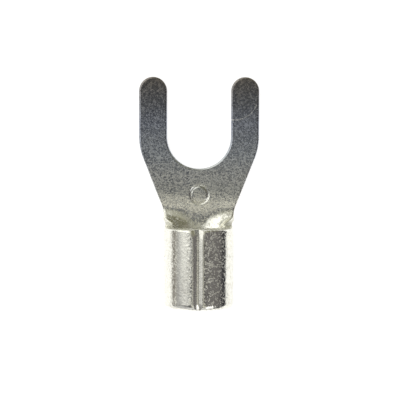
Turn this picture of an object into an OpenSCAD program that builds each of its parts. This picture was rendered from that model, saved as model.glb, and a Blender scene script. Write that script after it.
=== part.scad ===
// Bare fork terminal: one piece of copper sheet, blanked as a fork, with its
// tail rolled into a wire barrel that is closed by a brazed butt seam.
// The flat fork and the rolled barrel are two nodes, which meet where the sheet starts to curl.
// Origin: centre of the stud, on the underside of the fork.
// +Y is the way the fork opens, the barrel runs along -Y, and +Z is the seam's side.
// All sizes are in millimetres.

/* [Sheet] */
// Thickness of the copper sheet
sheet_t = 0.8; // [0.6:0.05:1]
// Break of the upper edges, where the punch entered the sheet
edge_break = 0.12; // [0.05:0.01:0.2]

/* [Fork] */
// Clear width between the tines, for the stud
slot_w = 5.3; // [4.3:0.1:6.4]
// Width of each tine
tine_w = 2.3; // [1.8:0.1:2.8]
// Distance from the stud's centre to the tips of the tines
tine_reach = 4.9; // [4:0.1:7]

/* [Neck] */
// Width of the neck
neck_w = 5.65; // [4.6:0.05:6.2]
// Distance from the stud's centre to where the fork has narrowed to the neck
neck_reach = 6.15; // [5.8:0.05:8]
// Length of the neck, up to the barrel's front edge
neck_len = 1.15; // [0.7:0.05:2.5]
// Radius of the corner where the neck's edge runs up into the barrel's rim
rim_r = 0.4; // [0.25:0.05:1]
// Length over which the flat sheet curls up into the barrel
curl_len = 1.6; // [1.2:0.05:2.4]

/* [Barrel] */
// Diameter of the bore that takes the wire
bore_d = 4.1; // [3.4:0.1:4.8]
// Length of the barrel
barrel_len = 6.55; // [5:0.05:9]
// Radius on the outer edges of the barrel's two ends
end_r = 0.3; // [0.1:0.05:0.4]
// Chamfer inside the mouth that the wire enters
mouth_chamfer = 0.2; // [0.1:0.05:0.3]

/* [Seam] */
// Width of the groove between the two butted edges
seam_w = 0.8; // [0.4:0.05:1.2]
// Depth of that groove, down to the braze
seam_depth = 0.32; // [0.15:0.01:0.45]

/* [Hidden] */
tin = [0.66, 0.66, 0.63];
$fn = 96;

slot_r = slot_w / 2;
fork_r = slot_r + tine_w;
tip_r = tine_w / 2;
tip_y = tine_reach - tip_r;

bore_r = bore_d / 2;
barrel_r = bore_r + sheet_t;
mean_r = bore_r + sheet_t / 2;
barrel_reach = neck_reach + neck_len;

// The shoulder's straight flank runs from the corner of the neck to the
// point where it is tangent to the round shoulder, which is concentric with the stud.
corner = [neck_w / 2, neck_reach];
flank_angle = atan2(corner[1], corner[0]) - acos(fork_r / norm(corner));
tangent = fork_r * [cos(flank_angle), sin(flank_angle)];

// The formed zone starts where the sheet stops being flat.
form_len = max(curl_len, rim_r);
form_reach = barrel_reach - form_len;
curl_reach = barrel_reach - curl_len;
rim_reach = barrel_reach - rim_r;

// Half of the angle that the neck and its two corners take up on the barrel
cradle_angle = (neck_w / 2 + rim_r) / mean_r * 180 / PI;

stations = 14;   // sections along the formed zone
across = 20;     // strips across each section
arc_steps = 6;   // chords in each rounded end of the barrel
seat = 0.2;      // how far the formed zone is let into the barrel's wall
skin = 0.02;     // cover over that let-in end
margin = 1;      // overshoot of the cutting tools
clear = 0.3;     // the same for the tools that break the edges
lap = 0.02;      // how far a straight one runs on past a round one

// Points on an arc about a centre
function arc(centre, r, from, to) = [
    for (i = [0 : arc_steps])
        let (a = from + (to - from) * i / arc_steps)
            centre + r * [cos(a), sin(a)]
];

// Half width of the flat blank at a distance from the stud's centre
function flank(d) = neck_w / 2 + max(0, neck_reach - d) * tan(flank_angle);
function rim_rise(d) =
    d <= rim_reach ? 0 : rim_r - sqrt(max(0, rim_r * rim_r - (d - rim_reach) * (d - rim_reach)));
function half_width(d) = flank(d) + rim_rise(d);

// Share of the barrel's full curvature at a distance from the stud's centre
function curl(d) = pow(max(0, min(1, (d - curl_reach) / curl_len)), 2.4);

// A point of the sheet: u across the blank, d from the stud's centre, h above mid thickness
function formed(u, d, h) =
    let (bend = curl(d) / mean_r)
        bend < 0.001
            ? [u, -d, sheet_t / 2 + h]
            : let (r = 1 / bend, a = u * bend * 180 / PI)
                [(r - h) * sin(a), -d, sheet_t / 2 + r - (r - h) * cos(a)];

// One closed section of the formed zone: along the underside, then back along the top,
// whose two edges are broken
function section(d, w, low, high) = [
    for (j = [0 : across]) formed(w * (2 * j / across - 1), d, low),
    formed(w, d, high - edge_break),
    for (j = [across : -1 : 0]) formed((w - edge_break) * (2 * j / across - 1), d, high),
    formed(-w, d, high - edge_break)
];

// Round shoulder, straight flanks and neck, as far as the sheet is flat
module shoulder_outline() {
    difference() {
        union() {
            intersection() {
                circle(r = fork_r);
                translate([-fork_r, -tangent[1]]) square([2 * fork_r, tangent[1]]);
            }
            polygon([
                [tangent[0], -tangent[1]],
                if (neck_reach < form_reach) [corner[0], -corner[1]],
                [half_width(form_reach), -form_reach],
                [-half_width(form_reach), -form_reach],
                if (neck_reach < form_reach) [-corner[0], -corner[1]],
                [-tangent[0], -tangent[1]]
            ]);
        }
        circle(r = slot_r);
    }
}

// One tine with its full-round tip
module tine_outline() {
    translate([slot_r, 0]) square([tine_w, tip_y]);
    intersection() {
        translate([slot_r + tip_r, tip_y]) circle(r = tip_r);
        translate([slot_r, tip_y]) square([tine_w, tine_w]);
    }
}

module tongue() {
    linear_extrude(height = sheet_t) shoulder_outline();
    linear_extrude(height = sheet_t) tine_outline();
    mirror([1, 0, 0]) linear_extrude(height = sheet_t) tine_outline();
}

// Tool that breaks a round upper edge: side is 1 with the sheet outside the radius, -1 inside it
module round_break(r, side, from, turn) {
    translate([0, 0, sheet_t]) rotate(from) rotate_extrude(angle = turn)
        polygon([
            [r + side * (edge_break + clear), clear],
            [r - side * clear, clear],
            [r - side * clear, -edge_break - clear]
        ]);
}

// Tool that breaks a straight upper edge, with the sheet on the left of the run
module straight_break(from, to) {
    run = to - from;
    translate([from[0], from[1], sheet_t]) rotate([90, 0, 90 + atan2(run[1], run[0])])
        linear_extrude(height = norm(run))
            polygon([
                [edge_break + clear, clear],
                [-clear, clear],
                [-clear, -edge_break - clear]
            ]);
}

// Tools for the right half of the fork
module half_breaks() {
    flank_top = [tangent[0], -tangent[1]];
    flank_end = [half_width(form_reach), -form_reach];
    up = (flank_top - flank_end) / norm(flank_top - flank_end);
    straight_break([slot_r, tip_y], [slot_r, 0]);
    translate([slot_r + tip_r, tip_y, 0]) round_break(tip_r, -1, 0, 180);
    straight_break([fork_r, -lap], [fork_r, tip_y]);
    round_break(fork_r, -1, -flank_angle, flank_angle);
    straight_break(flank_end - clear * up, flank_top + lap * up);
}

module fork() {
    color(tin) difference() {
        tongue();
        round_break(slot_r, 1, 180, 180);
        half_breaks();
        mirror([1, 0, 0]) half_breaks();
    }
}

// Where the flat sheet curls up into the barrel
module cradle() {
    facet = cradle_angle / across;
    lift = bore_r * (1 / cos(facet) - 1) + skin;
    low = -sheet_t / 2;
    high = sheet_t / 2;
    free = [
        for (i = [0 : stations - 1])
            let (p = i / stations, d = form_reach + form_len * (1 - (1 - p) * (1 - p)))
                section(d, half_width(d), low, high)
    ];
    let_in = [
        for (d = [barrel_reach, barrel_reach + seat])
            section(d, half_width(barrel_reach) - skin, low + skin, high - lift)
    ];
    rings = concat(free, let_in);
    n = 2 * (across + 2);
    last = (len(rings) - 1) * n;
    polyhedron(
        points = [for (ring = rings) each ring],
        faces = [
            for (j = [0 : across - 1])
                let (a = j, b = n - 2 - j)
                    each [[a, a + 1, b - 1], [a, b - 1, b]],
            for (j = [0 : across - 1])
                let (a = last + j, b = last + n - 2 - j)
                    each [[a, b - 1, a + 1], [a, b, b - 1]],
            [0, n - 2, n - 1],
            [across, across + 1, across + 2],
            [last, last + n - 1, last + n - 2],
            [last + across, last + across + 2, last + across + 1],
            for (i = [0 : n : last - n], k = [0 : n - 1])
                let (a = i + k, b = i + (k + 1) % n)
                    each [[a, a + n, b], [b, a + n, b + n]]
        ]
    );
}

// Wall of the barrel, cut along its axis: radius across, distance from the front edge up
module wall_profile() {
    polygon(concat(
        [[bore_r, 0], [barrel_r, 0]],
        arc([barrel_r - end_r, barrel_len - end_r], end_r, 0, 90),
        [[bore_r + mouth_chamfer, barrel_len], [bore_r, barrel_len - mouth_chamfer]]
    ));
}

// What rounding takes off the wall's front corner
module front_corner() {
    polygon(concat(
        arc([barrel_r - end_r, end_r], end_r, -90, 0),
        [[barrel_r + margin, end_r], [barrel_r + margin, -margin], [barrel_r - end_r, -margin]]
    ));
}

// The front edge is rounded where no neck runs into it
module barrel_wall() {
    free_angle = 360 - 2 * cradle_angle;
    difference() {
        rotate_extrude() wall_profile();
        rotate(cradle_angle - 90) rotate_extrude(angle = free_angle) front_corner();
    }
}

// The groove that the rounded edges of the sheet leave where they meet
module seam_groove() {
    translate([0, barrel_r, -margin])
        linear_extrude(height = barrel_len + 2 * margin)
            polygon([
                [0, -seam_depth],
                [seam_w, seam_depth],
                [-seam_w, seam_depth]
            ]);
}

// The rolled tube with its seam, standing behind the front edge
module tube() {
    translate([0, -barrel_reach, barrel_r]) rotate([90, 0, 0]) difference() {
        barrel_wall();
        seam_groove();
    }
}

module barrel() {
    color(tin) union() {
        cradle();
        tube();
    }
}

fork();
barrel();
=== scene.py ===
import math

import bpy
import bmesh
import numpy as np
from mathutils import Matrix, Vector, noise
from mathutils.geometry import delaunay_2d_cdt


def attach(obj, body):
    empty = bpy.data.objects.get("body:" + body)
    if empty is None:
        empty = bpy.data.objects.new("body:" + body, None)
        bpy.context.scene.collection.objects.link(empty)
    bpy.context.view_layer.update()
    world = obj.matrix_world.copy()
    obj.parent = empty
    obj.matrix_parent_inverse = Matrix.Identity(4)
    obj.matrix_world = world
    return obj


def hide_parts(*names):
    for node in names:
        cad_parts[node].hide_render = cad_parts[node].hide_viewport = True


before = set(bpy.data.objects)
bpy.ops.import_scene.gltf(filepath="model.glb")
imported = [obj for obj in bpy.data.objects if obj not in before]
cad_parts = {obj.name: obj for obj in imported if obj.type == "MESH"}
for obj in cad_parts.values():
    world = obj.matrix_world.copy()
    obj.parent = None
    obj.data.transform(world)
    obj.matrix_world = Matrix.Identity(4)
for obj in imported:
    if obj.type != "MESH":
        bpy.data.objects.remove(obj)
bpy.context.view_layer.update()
scene = bpy.context.scene
mm = 0.001
print("frame loaded:", ", ".join(sorted(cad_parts)))


def linearColour(hexText):
    channels = [int(hexText[i:i + 2], 16) / 255 for i in (1, 3, 5)]
    linear = [c / 12.92 if c <= 0.04045 else ((c + 0.055) / 1.055) ** 2.4 for c in channels]
    return (*linear, 1.0)


# a setting is a socket by name or number, a property, or the stops of a colour ramp
def addNode(tree, kind, settings=None, links=None):
    node = tree.nodes.new(kind)
    for key, value in (settings or {}).items():
        if key == "stops":
            elements = node.color_ramp.elements
            for i, (position, colour) in enumerate(value):
                stop = elements.new(position) if i > 1 else elements[i]
                stop.position, stop.color = position, colour
        elif isinstance(key, int) or key in node.inputs:
            node.inputs[key].default_value = value
        else:
            setattr(node, key, value)
    for key, socket in (links or {}).items():
        tree.links.new(socket, node.inputs[key])
    return node


def newMaterial(name):
    material = bpy.data.materials.new(name)
    material.use_nodes = True
    material.node_tree.nodes.clear()
    return material


# the flat blank that is stamped from sheet, in millimetres; a reach is measured from the slot's middle
blank = {
    "thickness": 0.8,
    "slotWidth": 5.3,
    "tineWidth": 2.3,
    "tineReach": 4.9,
    "neckWidth": 5.8,     # 0.15 more than the solids have
    "neckReach": 6.15,
    "neckLength": 1.15,
    "neckBend": 0.5,      # the flanks run into the neck in a short curve
    "rimRadius": 0.55,    # 0.15 more than the solids have
    "bore": 4.1,
    "barrelLength": 6.55,
}

# how the dies bend it, in millimetres and degrees; each pair ending in Across is two half widths,
# between which something comes in or fades
forming = {
    "dieLine": (5.05, 0.13),      # where the flattening die ends: reach in the middle, and slant
    "dieDip": 0.03,               # shallow step that it leaves there,
    "dieFade": (1.2, 4.4),        # deepest and gone this far behind the line
    "dieAcross": (4.5, 3.5),
    "dishReach": 5.8,             # the scoop starts here as a shallow dish
    "dishTilt": 27,               # slope of its sides at the barrel's mouth,
    "dishEase": 2.2,              # reached slowly at first
    "dishAcross": (0.4, 3.0),
    "dishFullness": 1.3,          # more makes its sides narrower
    "rollReach": 6.55,            # from here the sheet rolls up,
    "rollEase": 2,
    "rimLead": 0.2,               # its rims a little sooner,
    "rimLeadAcross": (2.0, 2.8),
    "rimCloses": (0.58, 0.03),    # and this far before the mouth they start and end to close to a tube
    "rimClosesAcross": (2.2, 3.0),
    "curlInside": 0.6,            # the floor only follows inside the mouth
    "curlAcross": (1.5, 3.0),
    "mouthSwell": 0.08,           # metal that the scoop's punch crowds up at the mouth
    "swellReach": (6.3, 7.6, 9.5),   # where it starts, stands highest and ends
    "swellAcross": (3.0, 1.0),
    "seamTurn": 0.9,              # degrees by which the seam stands right of the middle,
    "turnStart": 0.4,             # starting this far before the mouth
    "bendStep": 0.08,             # width of the strips in which the bend is summed up
}

thick = blank["thickness"]
slotR = blank["slotWidth"] / 2
forkR = slotR + blank["tineWidth"]
tipR = blank["tineWidth"] / 2
tipY = blank["tineReach"] - tipR
meanR = (blank["bore"] + thick) / 2
neckHalf = blank["neckWidth"] / 2
barrelReach = blank["neckReach"] + blank["neckLength"]
rearReach = barrelReach + blank["barrelLength"]
curlEnd = barrelReach + forming["curlInside"]
seamU = math.pi * meanR
cornerFar = math.hypot(neckHalf, blank["neckReach"])
flankAngle = math.atan2(blank["neckReach"], neckHalf) - math.acos(forkR / cornerFar)


def ramp(value, start, end):
    return max(0.0, min(1.0, (value - start) / (end - start)))


def smooth(value, start, end):
    t = ramp(value, start, end)
    return t * t * (3 - 2 * t)


# angle of the sheet at half width u and reach d: flat on the tongue, then a dish whose rims stay
# level, then the full roll, which the rims reach at the barrel's mouth and the floor inside it
def sheetAngle(u, d):
    full = barrelReach + forming["curlInside"] * (1 - smooth(u, *forming["curlAcross"]))
    start = forming["rollReach"] - forming["rimLead"] * smooth(u, *forming["rimLeadAcross"])
    roll = ramp(d, start, full) ** forming["rollEase"]
    tilt = math.radians(forming["dishTilt"])
    dish = tilt * ramp(d, forming["dishReach"], barrelReach) ** forming["dishEase"]
    bulge = math.sin(math.pi * ramp(u, *forming["dishAcross"])) ** forming["dishFullness"]
    return roll * u / meanR + (1 - roll) * dish * bulge


# place of a point of the bent sheet: u across and v along the flat blank, h above its middle
def rolledPoint(u, v, h):
    d, wide, side = -v, abs(u), math.copysign(1, u)
    if h > 0:
        line = forming["dieLine"][0] + forming["dieLine"][1] * u
        deepest, gone = (line + behind for behind in forming["dieFade"])
        dip = forming["dieDip"] * ramp(d, line, deepest) * ramp(d, gone, deepest)
        h -= dip * ramp(wide, *forming["dieAcross"])
        first, top, last = forming["swellReach"]
        swell = forming["mouthSwell"] * ramp(d, first, top) ** 2 * ramp(d, last, top)
        h += swell * ramp(wide, *forming["swellAcross"])
    if d <= forming["dishReach"]:
        return Vector((u, v, thick / 2 + h)) * mm
    angle = wide / meanR
    x, z = meanR * math.sin(angle), meanR * (1 - math.cos(angle))   # on the full tube
    start, end = (barrelReach - before for before in forming["rimCloses"])
    rolled = smooth(wide, *forming["rimClosesAcross"]) * smooth(d, start, end)
    if d >= curlEnd:
        rolled = 1
    if rolled < 1:   # still in the scoop, where the angle is summed up from the middle
        steps = max(1, round(wide / forming["bendStep"]))
        across = [sheetAngle((k + 0.5) * wide / steps, d) for k in range(steps)]
        run, rise = (wide / steps * sum(map(f, across)) for f in (math.cos, math.sin))
        x, z = run + (x - run) * rolled, rise + (z - rise) * rolled
        angle = sheetAngle(wide, d) * (1 - rolled) + angle * rolled
    x, z = side * (x - h * math.sin(angle)), z + h * math.cos(angle) - meanR
    turned = smooth(d, barrelReach - forming["turnStart"], curlEnd)
    turn = -math.radians(forming["seamTurn"]) * turned
    x, z = x * math.cos(turn) - z * math.sin(turn), x * math.sin(turn) + z * math.cos(turn)
    return Vector((x, v, thick / 2 + meanR + z)) * mm


# how the edges came out of the press and the rolls, in millimetres
edgeFinish = {
    "upperRoll": 0.16,       # where the punch went in
    "lowerBurr": 0.05,       # where the slug left
    "rearEnd": 0.42,         # outer edge of the barrel's rear end
    "frontEnd": 0.13,        # and of its front end, whose face also leans back
    "frontLean": 0.11,
    "boreEnd": 0.12,
    "boreSeam": 0.04,
    "unevenness": 0.18,      # share by which the rounding wanders,
    "wanders": 0.9,          # this often in a millimetre
    # in from the joint and down from the barrel's surface: braze fills the left half to a flat floor
    "seamLeft": [
        (0.0, 0.17), (0.1, 0.17), (0.19, 0.165), (0.26, 0.13), (0.31, 0.08), (0.36, 0.03), (0.43, 0.0)],
    "seamRight": [
        (0.0, 0.17), (0.05, 0.15), (0.1, 0.115), (0.15, 0.075), (0.2, 0.04), (0.25, 0.012), (0.3, 0.0)],
    "seamWander": 0.02,      # its sides sway by this much,
    "seamWanders": 0.8,      # this often in a millimetre
    "seamFlare": 0.6,        # share by which the seam opens at the barrel's mouth,
    "flareLength": 0.9,      # over this length
    # room that the roundings need at the seam's corners
    "frontClear": {"across": 0.75, "along": 0.5},
    "rearClear": {"across": 0.52, "along": 0.46},
    "steps": 6,              # in each rounding, one less than the seam has points
    "guard": 0.05,           # one more loop this far in holds the rounding's edge
}

# distance between the outline's points, in millimetres, and the steps in its curves
spacing = {
    "fork": 0.12,
    "neck": 0.08,
    "front": 0.09,
    "seam": 0.1,
    "rear": 0.12,
    "slotArc": 40,
    "tipArc": 36,
    "shoulderArc": 18,
    "neckCurve": 8,
    "rimArc": 12,
}


def arcPoints(cu, cv, r, start, end, count):
    angles = np.radians(np.linspace(start, end, count + 1))
    return [(cu + r * math.cos(a), cv + r * math.sin(a)) for a in angles]


def linePoints(a, b, gap):
    count = max(1, round(math.dist(a, b) / gap))
    return [(a[0] + (b[0] - a[0]) * i / count, a[1] + (b[1] - a[1]) * i / count) for i in range(count + 1)]


def pointsAway(points, corner, room):
    return [p for p in points if math.dist(p, corner) > room]


# right half of the blank's outline, from the slot's round end to the middle of the rear edge; each
# stretch has the rounding of its upper and lower edge, its share of the seam's profile, and its lean
def outlineStretches():
    edge = edgeFinish
    fork = (edge["upperRoll"], edge["lowerBurr"], 0.0, 0.0)
    frontEnd = (edge["boreEnd"], edge["frontEnd"], 0.0, edge["frontLean"])
    seam = (edge["boreSeam"], edge["rearEnd"], 1.0, 0.0)
    rearEnd = (edge["boreEnd"], edge["rearEnd"], 0.0, 0.0)

    tangent = (forkR * math.cos(flankAngle), -forkR * math.sin(flankAngle))
    flankWay, neckWay = np.array([-math.sin(flankAngle), -math.cos(flankAngle)]), np.array([0, -1])
    bendAt = np.array([neckHalf, -blank["neckReach"]])
    bendStart, bendEnd = bendAt - flankWay * blank["neckBend"], bendAt + neckWay * blank["neckBend"]
    shares = np.linspace(0, 1, spacing["neckCurve"] + 1)
    bend = [tuple((1 - s) ** 2 * bendStart + 2 * s * (1 - s) * bendAt + s ** 2 * bendEnd) for s in shares]
    rimOut, rimReach = neckHalf + blank["rimRadius"], barrelReach - blank["rimRadius"]

    # the roundings of two edges meet at the seam's corners, so no other points stand near these
    frontCorner, rearCorner = (seamU, -barrelReach), (seamU, -rearReach)
    frontLine = linePoints((rimOut, -barrelReach), frontCorner, spacing["front"])
    frontLine = pointsAway(frontLine, frontCorner, edge["frontClear"]["across"])
    seamLine = linePoints(frontCorner, rearCorner, spacing["seam"])
    seamLine = pointsAway(seamLine, frontCorner, edge["frontClear"]["along"])
    seamLine = pointsAway(seamLine, rearCorner, edge["rearClear"]["along"])
    rearLine = linePoints(rearCorner, (0, -rearReach), spacing["rear"])
    rearLine = pointsAway(rearLine, rearCorner, edge["rearClear"]["across"])
    return [
        (arcPoints(0, 0, slotR, -90, 0, spacing["slotArc"]), fork),
        (linePoints((slotR, 0), (slotR, tipY), spacing["fork"]), fork),
        (arcPoints(slotR + tipR, tipY, tipR, 180, 0, spacing["tipArc"]), fork),
        (linePoints((forkR, tipY), (forkR, 0), spacing["fork"]), fork),
        (arcPoints(0, 0, forkR, 0, -math.degrees(flankAngle), spacing["shoulderArc"]), fork),
        (linePoints(tangent, tuple(bendStart), spacing["fork"]), fork),
        (bend, fork),
        (linePoints(tuple(bendEnd), (neckHalf, -rimReach), spacing["neck"]), fork),
        (arcPoints(rimOut, -rimReach, blank["rimRadius"], 180, 270, spacing["rimArc"]), fork),
        (frontLine + [frontCorner], frontEnd),
        ([frontCorner] + seamLine + [rearCorner], seam),
        ([rearCorner] + rearLine, rearEnd),
    ]


cornerShare = 0.5     # the seam's corners belong half to the seam and half to the barrel's ends
cornerCosine = 0.3    # under which the outline turns a corner
blendRounds = 6       # roundings blend into each other along the outline


# points round the whole blank, the way in from each, and its edge finish
def joinedOutline():
    points, finish = [], []
    for stretch, values in outlineStretches():
        for p in stretch[(1 if points else 0):]:
            points.append(p)
            finish.append(values)
    points += [(-u, v) for u, v in reversed(points[1:-1])]
    finish += list(reversed(finish[1:-1]))
    points, finish = np.array(points), np.array(finish)
    ahead, behind = np.roll(points, -1, 0) - points, points - np.roll(points, 1, 0)
    ahead /= np.linalg.norm(ahead, axis=1)[:, None]
    behind /= np.linalg.norm(behind, axis=1)[:, None]
    inward = ahead + behind
    inward = np.stack([inward[:, 1], -inward[:, 0]], 1)
    inward /= np.linalg.norm(inward, axis=1)[:, None]
    square = np.einsum("ij,ij->i", ahead, behind) < cornerCosine
    inward[square] *= math.sqrt(2)   # mitred
    share = finish[:, 2].copy()
    share[square] = cornerShare
    for _ in range(blendRounds):
        finish = (np.roll(finish, 1, 0) + 2 * finish + np.roll(finish, -1, 0)) / 4
    finish[:, 2] = share
    return points, inward, finish


edgeNoise, seamNoise, seamApart = 3.1, 7.7, 4   # places in the noise


# loops across the edge, from the upper face to the lower one, as (points, heights)
def edgeLoops(points, inward, finish):
    edge, steps, guard = edgeFinish, edgeFinish["steps"], edgeFinish["guard"]
    upper, lower, share, lean = finish.T
    places = [Vector((u * edge["wanders"], v * edge["wanders"], edgeNoise)) for u, v in points]
    wander = np.array([noise.noise(place) for place in places])
    wander[share > 0] = 0   # the two butted edges match
    upper = upper * (1 + edge["unevenness"] * wander)
    lower = lower * (1 + edge["unevenness"] / 2 * wander)
    loops = [(points + inward * (upper + guard)[:, None], np.full(len(points), thick / 2))]
    for k in range(steps, -1, -1):
        a = math.pi / 2 * k / steps
        across = upper * (1 - math.cos(a))
        loops.append((points + inward * across[:, None], thick / 2 - upper * (1 - math.sin(a))))

    places = [Vector((math.copysign(seamApart, u), v * edge["seamWanders"], seamNoise)) for u, v in points]
    seamHalf = edge["seamRight"][-1][0]
    sway = 1 + edge["seamWander"] / seamHalf * np.array([noise.noise(place) for place in places])
    flareEnd = barrelReach + edge["flareLength"]
    flare = np.array([1 + edge["seamFlare"] * smooth(-v, flareEnd, barrelReach) for u, v in points])
    onSeam, corner = share == 1, share == cornerShare   # the seam runs out through the corners
    for k in range(steps + 2):
        last = min(k, steps)
        past = guard if k > steps else 0
        a = math.pi / 2 * last / steps
        inset, depth = np.where(points[:, :1] < 0, edge["seamLeft"][last], edge["seamRight"][last]).T
        seam = inset * flare * sway + past
        end = lean + lower * (1 - math.cos(a)) + past
        endDepth = lower * (1 - math.sin(a))
        across = np.stack([np.where(onSeam | corner, seam, end), np.where(onSeam, seam, end)], 1)
        height = np.where(onSeam, depth, np.where(corner, np.maximum(depth, endDepth), endDepth))
        loops.append((points + inward * across, height - thick / 2))
    return loops


# plain ring that the press leaves on the tongue, in millimetres
pressRing = {
    "centre": (0.05, -4.8),
    "radius": 0.72,
    "halfWidth": 0.15,
    "depth": 0.06,
    "lean": 0.35,           # share by which it is deeper on one side,
    "leanTowards": 0.6,     # in radians from the right
    "profile": (-1.25, -1.0, -0.7, -0.35, 0.0, 0.35, 0.7, 1.0, 1.25),   # its loops, in half widths
    "points": 72,
    "clear": 0.05,
}


def ringLoops():
    ring, rings = pressRing, []
    cu, cv = ring["centre"]
    angles = np.linspace(0, 2 * math.pi, ring["points"], endpoint=False)
    for step in ring["profile"]:
        r = ring["radius"] + step * ring["halfWidth"]
        drop = ring["depth"] * (0.5 + 0.5 * math.cos(math.pi * max(-1, min(1, step))))
        loop = [(cu + r * math.cos(a), cv + r * math.sin(a)) for a in angles]
        heights = [thick / 2 - drop * (1 + ring["lean"] * math.cos(a - ring["leanTowards"])) for a in angles]
        rings.append((loop, heights))
    return rings


# grids of points that fill a face, across and along the blank, each as from, to and step in
# millimetres: wide apart on the flat fork, close where the sheet curls
fillGrids = {
    "fork": ((-4.9, 4.9, 0.4), (-4.5, 4.9, 0.4)),
    "scoop": ((-3.4, 3.4, 0.11), (-7.3, -4.5, 0.08)),
    "barrel": ((-7.6, 7.65, 0.13), (-13.7, -8.0, 0.4)),
    "mouth": ((-7.6, 7.65, 0.13), (-7.99, -7.3, 0.09)),
}
fillClear = 0.045   # room that they leave to the edge


def inside(loop, points, margin):
    x, y = points[:, 0][:, None], points[:, 1][:, None]
    x0, y0 = loop[:, 0][None], loop[:, 1][None]
    x1, y1 = np.roll(x0, -1, 1), np.roll(y0, -1, 1)
    crosses = ((y0 > y) != (y1 > y)) & (x < (x1 - x0) * (y - y0) / (y1 - y0 + 1e-15) + x0)
    near = np.min((x - x0) ** 2 + (y - y0) ** 2, axis=1)
    return (crosses.sum(1) % 2 == 1) & (near > margin ** 2)


def fillPoints(loop, ringed):
    grids = [np.meshgrid(np.arange(*across), np.arange(*along)) for across, along in fillGrids.values()]
    points = np.concatenate([np.stack(grid, -1).reshape(-1, 2) for grid in grids])
    keep = inside(loop, points, fillClear)
    if ringed:
        far = np.linalg.norm(points - pressRing["centre"], axis=1)
        room = pressRing["halfWidth"] * pressRing["profile"][-1] + pressRing["clear"]
        keep &= np.abs(far - pressRing["radius"]) > room
    return points[keep]


# one face of the sheet, filled with triangles between its edge loop, its rings and the points inside
def fillFace(loop, height, rings):
    inner = fillPoints(loop, bool(rings))
    coords, heights, edges = [], [], []
    for points, levels in [([tuple(p) for p in loop], [height] * len(loop))] + rings:
        first, count = len(coords), len(points)
        coords += points
        heights += levels
        edges += [(first + i, first + (i + 1) % count) for i in range(count)]
    coords += [tuple(p) for p in inner]
    heights += [height] * len(inner)
    insideOnly, epsilon = 1, 1e-6
    filled = delaunay_2d_cdt([Vector(c) for c in coords], edges, [], insideOnly, epsilon)
    faces, sources = filled[2], filled[3]
    return coords, heights, [[sources[i][0] for i in face] for face in faces]


sheared, brazed = 1, 2   # material slots beside the tumbled one
barrelSlack = 0.05       # the wall counts as the fork's up to this far before the barrel, in millimetres
sharpFrom = 38           # degrees


def buildTerminal():
    points, inward, finish = joinedOutline()
    loops = edgeLoops(points, inward, finish)
    count = len(points)
    mesh = bmesh.new()
    rows = [[mesh.verts.new(rolledPoint(u, v, h)) for (u, v), h in zip(*loop)] for loop in loops]
    onSeam = np.abs(np.abs(points[:, 0]) - seamU) < 1e-9
    onFork = points[:, 1] > -barrelReach + barrelSlack
    wall = edgeFinish["steps"] + 1   # the plain wall between the two roundings
    for j in range(len(rows) - 1):
        for i in range(count):
            n = (i + 1) % count
            butted = onSeam[i] and onSeam[n]
            if j == wall and butted:
                continue   # brazed to the other edge
            face = mesh.faces.new((rows[j][i], rows[j][n], rows[j + 1][n], rows[j + 1][i]))
            if j == wall and onFork[i]:
                face.material_index = sheared
            elif j > wall and butted:
                face.material_index = brazed
    for (loop, levels), row, rings in ((loops[0], rows[0], ringLoops()), (loops[-1], rows[-1], [])):
        coords, heights, faces = fillFace(loop, levels[0], rings)
        inner = zip(coords[count:], heights[count:])
        verts = row + [mesh.verts.new(rolledPoint(u, v, h)) for (u, v), h in inner]
        for face in faces:
            mesh.faces.new([verts[i] for i in face])
    bmesh.ops.remove_doubles(mesh, verts=mesh.verts, dist=1e-7)   # joins the butted edges
    bmesh.ops.recalc_face_normals(mesh, faces=mesh.faces)
    openEdges = sum(1 for edge in mesh.edges if len(edge.link_faces) != 2)
    data = bpy.data.meshes.new("formedTerminal")
    mesh.to_mesh(data)
    mesh.free()
    data.shade_smooth()
    data.set_sharp_from_angle(angle=math.radians(sharpFrom))
    piece = bpy.data.objects.new("formedTerminal", data)
    scene.collection.objects.link(piece)
    print("terminal built:", len(data.polygons), "faces,", openEdges, "open edges")
    return piece


terminal = buildTerminal()

# electro-tinned copper; pitting and dents are really a few hundredths of a millimetre wide, and are
# drawn coarser so that they show
plating = {
    "pale": "#F6F5F1",
    "dull": "#E0DEDA",
    "grainMm": 0.16,            # pitting of the tin,
    "blotchMm": 0.45,           # gathered in blotches
    "blotchShare": 0.4,
    "pitRange": (0.34, 0.5),    # of the noise, from dull pit to pale tin
    "bumpMm": 0.009,
    "cloudMm": 1.6,             # thicker and thinner tin, smoother and rougher
    "cloudRange": (0.3, 0.7),
    "dentMm": 0.1,              # knocks from tumbling,
    "dentTilt": 0.07,           # the slope of their floors,
    "mattRange": (0.7, 0.9),    # which of them are glossy and which matt, drawn from 0 to 1
    "mattRoughness": 0.65,
    # how strong the dents are across the barrel, in millimetres from its middle: the rolling dies
    # have burnished its flanks and its left half
    "dentStrength": [
        (-2.9, 0.5), (-2.36, 0.55), (-2.24, 0.9), (-1.8, 1.0), (-1.6, 0.25), (-1.0, 0.25), (-0.8, 1.2),
        (0.3, 1.2), (0.5, 2.0), (1.7, 2.0), (2.0, 0.7), (2.2, 0.6), (2.34, 0.6), (2.9, 0.55)],
    "burnished": (-7.0, -7.4),   # along the part, from where to where the dies begin to press
    # painted shade along the part, in millimetres from the slot's middle: the tin is darkened and tinted
    # towards the tips, where the room it reflects is dimmer
    "paintedTipShade": [
        (-7.0, "#FFFFFA"), (-5.5, "#FFFFFA"), (-4.4, "#D0D2D2"), (-3.2, "#D6D8DA"),
        (-1.5, "#C4CAD4"), (1.0, "#AEB4C4"), (2.8, "#9A9CA4"), (4.9, "#948E8A")],
}

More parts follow.
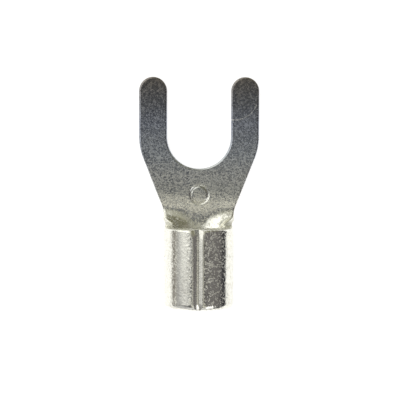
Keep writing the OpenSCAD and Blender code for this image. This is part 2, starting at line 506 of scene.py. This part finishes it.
# arc that a washer's rim has rubbed into one tine, in millimetres and degrees
rubMark = {
    "centre": (2.9, 3.35),
    "radius": 1.98,
    "span": (-97, -22),
    "halfWidth": (0.05, 0.015),   # where it starts to show and where it is plain
    "tint": "#E4E4E4",
}

# roughness from smooth to rough tin, and how strong the dents are, in the order of the material slots
finishes = {
    "tinPlatedCopperTumbled": {"sheen": (0.14, 0.2), "dents": 1.0},    # a soft grey mirror with matt specks
    "tinPlatedCopperSheared": {"sheen": (0.42, 0.55), "dents": 1.0},   # torn by the press: dull and satiny
    "tinPlatedBraze": {"sheen": (0.16, 0.26), "dents": 0.15},          # flowed: smooth, it glints in a line
}


# tin over copper: a soft grey mirror, broken up by fine matt dents that catch light from all round,
# with faint clouds where the tin is thinner, and painted shade that darkens it towards the tips.
# A mix node's sockets are 0 for the factor, 2 and 3 for numbers, 6 and 7 for colours
def tinPlatedCopper(name, finish):
    look, rub = plating, rubMark
    material = newMaterial(name)
    tree = material.node_tree
    place = addNode(tree, "ShaderNodeTexCoord").outputs["Object"]
    axes = addNode(tree, "ShaderNodeSeparateXYZ", None, {0: place})

    # each dent has a slope and a gloss of its own
    dents = addNode(tree, "ShaderNodeTexVoronoi", {"Scale": 1 / (look["dentMm"] * mm)}, {"Vector": place})
    draw = addNode(tree, "ShaderNodeSeparateColor", None, {0: dents.outputs["Color"]})
    left, right = look["dentStrength"][0][0], look["dentStrength"][-1][0]
    strongest = max(strength for at, strength in look["dentStrength"])
    greys = [((at - left) / (right - left), strength / strongest) for at, strength in look["dentStrength"]]
    across = addNode(tree, "ShaderNodeMapRange", {
        "From Min": left * mm, "From Max": right * mm}, {"Value": axes.outputs["X"]})
    across = addNode(tree, "ShaderNodeValToRGB", {
        "stops": [(position, (grey, grey, grey, 1)) for position, grey in greys]}, {"Fac": across.outputs[0]})
    begin, end = (at * mm for at in look["burnished"])
    pressed = addNode(tree, "ShaderNodeMapRange", {
        "From Min": begin, "From Max": end}, {"Value": axes.outputs["Y"]})
    strength = addNode(tree, "ShaderNodeMix", {
        "data_type": "FLOAT", 2: 1 / strongest}, {0: pressed.outputs[0], 3: across.outputs["Color"]})
    strength = addNode(tree, "ShaderNodeMath", {
        "operation": "MULTIPLY", 1: strongest * finish["dents"]}, {0: strength.outputs[0]})
    matt = addNode(tree, "ShaderNodeMapRange", {
        "From Min": look["mattRange"][0], "From Max": look["mattRange"][1]}, {"Value": draw.outputs[0]})
    matt = addNode(tree, "ShaderNodeMath", {
        "operation": "MULTIPLY", "use_clamp": True}, {0: matt.outputs[0], 1: strength.outputs[0]})

    cloud = addNode(tree, "ShaderNodeTexNoise", {
        "Scale": 1 / (look["cloudMm"] * mm), "Detail": 2.0}, {"Vector": place})
    sheen = addNode(tree, "ShaderNodeMapRange", {
        "From Min": look["cloudRange"][0], "From Max": look["cloudRange"][1],
        "To Min": finish["sheen"][0], "To Max": finish["sheen"][1]}, {"Value": cloud.outputs["Fac"]})
    rough = addNode(tree, "ShaderNodeMix", {
        "data_type": "FLOAT", 3: look["mattRoughness"]}, {0: matt.outputs[0], 2: sheen.outputs[0]})

    # pits colour the tin, and painted shade darkens it towards the tips
    grain = addNode(tree, "ShaderNodeTexNoise", {
        "Scale": 1 / (look["grainMm"] * mm), "Detail": 2.0, "Roughness": 0.6}, {"Vector": place})
    blotch = addNode(tree, "ShaderNodeTexNoise", {
        "Scale": 1 / (look["blotchMm"] * mm), "Detail": 1.0}, {"Vector": place})
    pit = addNode(tree, "ShaderNodeMix", {
        "data_type": "FLOAT", 0: look["blotchShare"]}, {2: grain.outputs["Fac"], 3: blotch.outputs["Fac"]})
    pit = addNode(tree, "ShaderNodeMapRange", {
        "From Min": look["pitRange"][0], "From Max": look["pitRange"][1]}, {"Value": pit.outputs[0]})
    tint = addNode(tree, "ShaderNodeMix", {
        "data_type": "RGBA", 6: linearColour(look["dull"]), 7: linearColour(look["pale"])},
        {0: pit.outputs[0]})
    # painted shade: the tin's colour is darkened and tinted along the part, more towards the tips
    rear, front = look["paintedTipShade"][0][0], look["paintedTipShade"][-1][0]
    paintedTipShade = addNode(tree, "ShaderNodeMapRange", {
        "From Min": rear * mm, "From Max": front * mm}, {"Value": axes.outputs["Y"]})
    paintedTipShade = addNode(tree, "ShaderNodeValToRGB", {
        "stops": [((at - rear) / (front - rear), linearColour(colour)) for at, colour in look["paintedTipShade"]]},
        {"Fac": paintedTipShade.outputs[0]})
    tint = addNode(tree, "ShaderNodeMix", {
        "data_type": "RGBA", "blend_type": "MULTIPLY", 0: 1.0},
        {6: tint.outputs[2], 7: paintedTipShade.outputs["Color"]})

    # the rub mark, where the distance from its arc is small and the direction is in its span
    middle = (rub["centre"][0] * mm, rub["centre"][1] * mm, thick * mm)
    fromRub = addNode(tree, "ShaderNodeVectorMath", {"operation": "SUBTRACT", 1: middle}, {0: place})
    far = addNode(tree, "ShaderNodeVectorMath", {"operation": "LENGTH"}, {0: fromRub.outputs[0]})
    off = addNode(tree, "ShaderNodeMath", {
        "operation": "SUBTRACT", 1: rub["radius"] * mm}, {0: far.outputs["Value"]})
    off = addNode(tree, "ShaderNodeMath", {"operation": "ABSOLUTE"}, {0: off.outputs[0]})
    faint, plain = (far * mm for far in rub["halfWidth"])
    rubbed = addNode(tree, "ShaderNodeMapRange", {
        "From Min": faint, "From Max": plain}, {"Value": off.outputs[0]})
    flat = addNode(tree, "ShaderNodeSeparateXYZ", None, {0: fromRub.outputs[0]})
    turn = addNode(tree, "ShaderNodeMath", {
        "operation": "ARCTAN2"}, {0: flat.outputs["Y"], 1: flat.outputs["X"]})
    for test, limit in zip(("GREATER_THAN", "LESS_THAN"), rub["span"]):
        within = addNode(tree, "ShaderNodeMath", {
            "operation": test, 1: math.radians(limit)}, {0: turn.outputs[0]})
        rubbed = addNode(tree, "ShaderNodeMath", {
            "operation": "MULTIPLY"}, {0: rubbed.outputs[0], 1: within.outputs[0]})
    tint = addNode(tree, "ShaderNodeMix", {
        "data_type": "RGBA", 7: linearColour(rub["tint"])}, {0: rubbed.outputs[0], 6: tint.outputs[2]})

    bump = addNode(tree, "ShaderNodeBump", {
        "Strength": 1.0, "Distance": look["bumpMm"] * mm}, {"Height": grain.outputs["Fac"]})
    slope = addNode(tree, "ShaderNodeVectorMath", {
        "operation": "SUBTRACT", 1: (0.5, 0.5, 0.5)}, {0: dents.outputs["Color"]})
    steep = addNode(tree, "ShaderNodeMath", {
        "operation": "MULTIPLY", 1: look["dentTilt"]}, {0: strength.outputs[0]})
    slope = addNode(tree, "ShaderNodeVectorMath", {
        "operation": "SCALE"}, {0: slope.outputs[0], "Scale": steep.outputs[0]})
    facing = addNode(tree, "ShaderNodeVectorMath", {
        "operation": "ADD"}, {0: bump.outputs["Normal"], 1: slope.outputs[0]})
    facing = addNode(tree, "ShaderNodeVectorMath", {"operation": "NORMALIZE"}, {0: facing.outputs[0]})
    metal = addNode(tree, "ShaderNodeBsdfPrincipled", {"Metallic": 1.0}, {
        "Base Color": tint.outputs[2], "Roughness": rough.outputs[0], "Normal": facing.outputs[0]})
    addNode(tree, "ShaderNodeOutputMaterial", None, {"Surface": metal.outputs["BSDF"]})
    return material


for name, finish in finishes.items():
    terminal.data.materials.append(tinPlatedCopper(name, finish))
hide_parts("fork", "barrel")
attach(terminal, "root")
print("plating set:", ", ".join(finishes))

# white card under the part, in millimetres
whiteCard = {
    "reach": (-38, 27, -50, 40),   # left, right, rear and front edge
    "drop": 0.02,                  # below the part, so that their faces don't lie in each other
    "colour": "#BCBCBC",
    "glow": 0.85,
}


# uncoated paper: dull white, lit by the room, with a glow of its own where it is looked at directly
# or in the metal
def buildCard():
    material = newMaterial("whitePaperCard")
    tree = material.node_tree
    path = addNode(tree, "ShaderNodeLightPath").outputs
    seen = addNode(tree, "ShaderNodeMath", {
        "operation": "MAXIMUM"}, {0: path["Is Camera Ray"], 1: path["Is Glossy Ray"]})
    seen = addNode(tree, "ShaderNodeMath", {
        "operation": "MAXIMUM"}, {0: seen.outputs[0], 1: path["Is Transmission Ray"]})
    strength = addNode(tree, "ShaderNodeMath", {
        "operation": "MULTIPLY", 1: whiteCard["glow"]}, {0: seen.outputs[0]})
    glow = addNode(tree, "ShaderNodeEmission", {"Color": (1, 1, 1, 1)}, {"Strength": strength.outputs[0]})
    paper = addNode(tree, "ShaderNodeBsdfDiffuse", {"Color": linearColour(whiteCard["colour"])})
    both = addNode(tree, "ShaderNodeAddShader", None, {0: paper.outputs[0], 1: glow.outputs[0]})
    addNode(tree, "ShaderNodeOutputMaterial", None, {"Surface": both.outputs[0]})
    left, right, rear, front = (reach * mm for reach in whiteCard["reach"])
    z = -whiteCard["drop"] * mm
    corners = [(left, rear, z), (right, rear, z), (right, front, z), (left, front, z)]
    data = bpy.data.meshes.new("whiteCard")
    data.from_pydata(corners, [], [(0, 1, 2, 3)])
    data.materials.append(material)
    card = bpy.data.objects.new("whiteCard", data)
    scene.collection.objects.link(card)


# dim room with soft lights: azimuth from the right and angle from the zenith of each one's middle,
# the radius that is fully bright and the one where it has faded, all in degrees, radiance and colour
roomColour = "#323236"
roomLights = {
    "leftSoftbox": (185, 55, 25, 33, 0.24, "#FFFFFF"),
    "leftWall": (184, 90, 10, 20, 0.2, "#FFF6E6"),
    "leftLamp": (187, 67, 4, 10, 0.08, "#FFFFFF"),
    "frontLeftWindow": (142, 52, 24, 44, 1.1, "#FFFFFA"),
    "frontRightWall": (55, 64, 26, 38, 0.16, "#FFFBCC"),
    "frontWall": (118, 78, 26, 40, 0.5, "#FFFFF0"),
    "frontCeiling": (75, 23, 11, 23, 0.34, "#FFFEE6"),
    "rightWall": (356, 50, 22, 38, 0.125, "#FFF8F4"),
    "rearRightWindow": (303, 54, 14, 27, 1.1, "#FFFFFF"),
    "rearRightLamp": (318, 42, 6, 12, 1.1, "#FFFFFF"),
    "rearWall": (270, 70, 16, 34, 0.6, "#FFFFFF"),
    "rearLeftWall": (228, 80, 18, 30, 0.5, "#FFFFFF"),
    "skylight": (90, 0, 4, 10, 0.07, "#B4CCFF"),
    "ceilingLight": (270, 19, 13, 20, 0.62, "#FFFCEC"),
}


def buildRoom():
    world = bpy.data.worlds.new("dimRoom")
    scene.world = world
    world.use_nodes = True
    tree = world.node_tree
    tree.nodes.clear()
    direction = addNode(tree, "ShaderNodeTexCoord").outputs["Generated"]
    total = None
    for azimuth, zenith, full, faded, radiance, colour in roomLights.values():
        turn, tilt = math.radians(azimuth), math.radians(zenith)
        middle = (math.sin(tilt) * math.cos(turn), math.sin(tilt) * math.sin(turn), math.cos(tilt))
        near = addNode(tree, "ShaderNodeVectorMath", {"operation": "DOT_PRODUCT", 1: middle}, {0: direction})
        away = addNode(tree, "ShaderNodeMath", {"operation": "ARCCOSINE"}, {0: near.outputs["Value"]})
        fade = addNode(tree, "ShaderNodeMapRange", {
            "interpolation_type": "SMOOTHSTEP", "From Min": math.radians(faded),
            "From Max": math.radians(full), "To Max": radiance}, {"Value": away.outputs[0]})
        glow = addNode(tree, "ShaderNodeVectorMath", {
            "operation": "SCALE", 0: linearColour(colour)[:3]}, {"Scale": fade.outputs[0]})
        if total is None:
            total = addNode(tree, "ShaderNodeVectorMath", {
                "operation": "ADD", 1: linearColour(roomColour)[:3]}, {0: glow.outputs[0]})
        else:
            total = addNode(tree, "ShaderNodeVectorMath", {
                "operation": "ADD"}, {0: glow.outputs[0], 1: total.outputs[0]})
    sky = addNode(tree, "ShaderNodeBackground", {"Strength": 1.0}, {"Color": total.outputs[0]})
    addNode(tree, "ShaderNodeOutputWorld", None, {"Surface": sky.outputs[0]})


buildCard()
buildRoom()
print("card and room set:", len(roomLights), "lights")

# camera high over the fork, leaning a little towards the barrel, in millimetres
shot = {
    "height": 110.0,
    "over": (0.1, -0.1),
    "lookAt": (0.1, -5.24, 0.8),
    "mmPerPixel": 0.0826,
    "pixels": 400,
    "roll": 0.2,           # degrees
    "sensor": 36.0,
    "clip": (5, 10000),
}


def addCamera():
    lens = bpy.data.cameras.new("photoCamera")
    camera = bpy.data.objects.new("photoCamera", lens)
    eye = Vector((*shot["over"], shot["height"])) * mm
    target = Vector(shot["lookAt"]) * mm
    back = (eye - target).normalized()
    right = Vector((0, 1, 0)).cross(back).normalized()
    up = back.cross(right)
    roll = Matrix.Rotation(math.radians(shot["roll"]), 3, "Z")
    turn = Matrix((right, up, back)).transposed() @ roll
    camera.matrix_world = Matrix.Translation(eye) @ turn.to_4x4()
    wide = shot["mmPerPixel"] * shot["pixels"] * mm
    lens.sensor_fit = "HORIZONTAL"
    lens.sensor_width = shot["sensor"]
    lens.lens = shot["sensor"] * (eye - target).length / wide
    lens.clip_start, lens.clip_end = (far * mm for far in shot["clip"])
    scene.collection.objects.link(camera)
    scene.camera = camera


addCamera()
scene.view_settings.view_transform = "Standard"
print("camera set")
